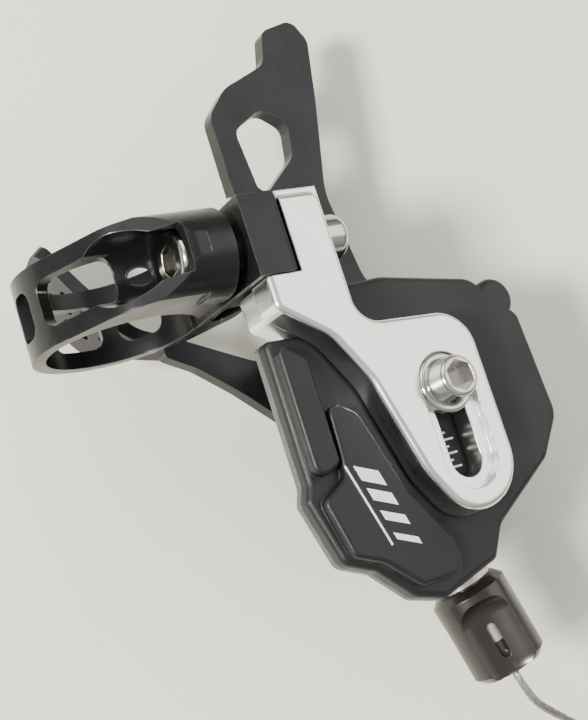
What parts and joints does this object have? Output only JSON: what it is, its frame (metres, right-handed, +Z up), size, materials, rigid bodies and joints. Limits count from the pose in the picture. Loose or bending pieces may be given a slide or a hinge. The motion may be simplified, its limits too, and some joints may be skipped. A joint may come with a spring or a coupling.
{
  "type": "front derailleur trigger shifter",
  "caption": "Left-hand handlebar trigger shifter that works a bicycle's front derailleur: hinged bar clamp, slotted bracket, thumb and finger levers, cable adjuster and inner cable.",
  "frame": {"origin": "centre of the bounding box's bottom face, without the free cable, with the shifter lying on a flat surface on its thumb pad and the front edge of its housing", "axes": "+X along the handlebar towards the inboard end, where the cable leaves; +Y forward, away from the rider; +Z up"},
  "size_m": [0.1581, 0.0829, 0.049],
  "materials": {
    "anodised_black": "black anodised, satin gloss",
    "bolt_steel": "polished steel",
    "bracket_aluminium": "polished and clear anodised",
    "scale_strip": "black with pale setting marks",
    "cover_plastic": "black, fine matt texture",
    "rim_plastic": "grey, satin",
    "housing_plastic": "black, matt",
    "zinc_steel": "zinc plated",
    "spring_steel": "drawn spring wire",
    "post_aluminium": "turned, clear anodised",
    "tie_plastic": "black",
    "end_cap_aluminium": "bright",
    "lever_aluminium": "black anodised, satin gloss",
    "drum_plastic": "white acetal",
    "cable_steel": "twisted steel wire",
    "stop_steel": "dark plated",
    "knob_plastic": "dark brown-black, semi gloss"
  },
  "bodies": {
    "clamp_and_bracket": {"clamp_band": "anodised_black", "clamp_bolt": "bolt_steel", "clamp_nut": "bolt_steel", "bracket": "bracket_aluminium"},
    "shifter_body": {"bracket_bolt": "bolt_steel", "scale_plate": "scale_strip", "upper_cover": "cover_plastic", "under_cover": "rim_plastic", "lower_housing": "housing_plastic", "port_plug": "housing_plastic", "base_plate": "zinc_steel", "top_plate": "zinc_steel", "main_axle": "zinc_steel", "axle_nut": "bolt_steel", "thrust_washer": "zinc_steel", "release_post": "zinc_steel", "lever_spring": "spring_steel", "adjuster_post": "post_aluminium", "cable_run": "cable_steel", "pawl_post": "zinc_steel", "stop_post": "zinc_steel", "spacer_post": "zinc_steel", "cable_free": "cable_steel", "cable_coil": "cable_steel", "cable_tail": "cable_steel", "coil_tie": "tie_plastic", "cable_end_cap": "end_cap_aluminium"},
    "thumb_lever": {"main_lever": "lever_aluminium", "lever_bush": "drum_plastic", "pull_pin": "zinc_steel"},
    "drum": {"winding_drum": "drum_plastic", "ratchet_plate": "zinc_steel", "feed_ratchet": "zinc_steel", "drum_spring": "spring_steel", "cable_nipple": "bolt_steel", "wound_cable": "cable_steel"},
    "finger_lever": {"release_lever": "lever_aluminium"},
    "catch_pawl": {"positioning_pawl": "zinc_steel"},
    "check_pawl": {"stop_pawl": "zinc_steel"},
    "feed_pawl": {"pulling_pawl": "zinc_steel"},
    "casing_seat": {"cable_stop": "stop_steel"},
    "adjuster": {"adjuster_knob": "knob_plastic"}
  },
  "joints": [
    {"name": "body_slide", "type": "slide", "parent": "clamp_and_bracket", "child": "shifter_body", "axis": [1, 0, 0], "range_m": [0, 0.0108]},
    {"name": "thumb_lever_pivot", "type": "hinge", "parent": "shifter_body", "child": "thumb_lever", "pos_m": [0.01082, 0.01595, 0.01667], "axis": [0, 0.309, 0.9511], "range_deg": [-38, 0], "stiffness_Nm_per_rad": 0.35, "springref_deg": 20.05},
    {"name": "drum_spin", "type": "hinge", "parent": "shifter_body", "child": "drum", "pos_m": [0.01082, 0.01595, 0.01667], "axis": [0, 0.309, 0.9511], "range_deg": [-38, 0]},
    {"name": "finger_lever_pivot", "type": "hinge", "parent": "shifter_body", "child": "finger_lever", "pos_m": [0.00282, 0.02261, 0.0145], "axis": [0, 0.309, 0.9511], "range_deg": [-12, 12], "stiffness_Nm_per_rad": 0.4},
    {"name": "catch_pawl_pivot", "type": "hinge", "parent": "shifter_body", "child": "catch_pawl", "pos_m": [0.02582, 0.0183, 0.02064], "axis": [0, 0.309, 0.9511], "range_deg": [-8, 0], "stiffness_Nm_per_rad": 0.02, "springref_deg": 11.46},
    {"name": "check_pawl_pivot", "type": "hinge", "parent": "shifter_body", "child": "check_pawl", "pos_m": [0.02402, 0.00726, 0.02422], "axis": [0, 0.309, 0.9511], "range_deg": [0, 6], "stiffness_Nm_per_rad": 0.02, "springref_deg": -11.46},
    {"name": "feed_pawl_pivot", "type": "hinge", "parent": "thumb_lever", "child": "feed_pawl", "pos_m": [0.00407, 0.00313, 0.01085], "axis": [0, 0.309, 0.9511], "range_deg": [-8, 0], "stiffness_Nm_per_rad": 0.02, "springref_deg": 11.46},
    {"name": "casing_seat_slide", "type": "slide", "parent": "shifter_body", "child": "casing_seat", "axis": [0.9659, 0.2462, -0.08], "range_m": [0, 0.0024]},
    {"name": "adjuster_turn", "type": "hinge", "parent": "casing_seat", "child": "adjuster", "pos_m": [0.05328, 0.01802, 0.02441], "axis": [0.9659, 0.2462, -0.08], "range_deg": [0, 1080]}
  ],
  "couplings": [
    {"joint": "drum_spin", "follows": "thumb_lever_pivot", "ratio": 1},
    {"joint": "adjuster_turn", "follows": "casing_seat_slide", "rad_per_m": 7854}
  ]
}
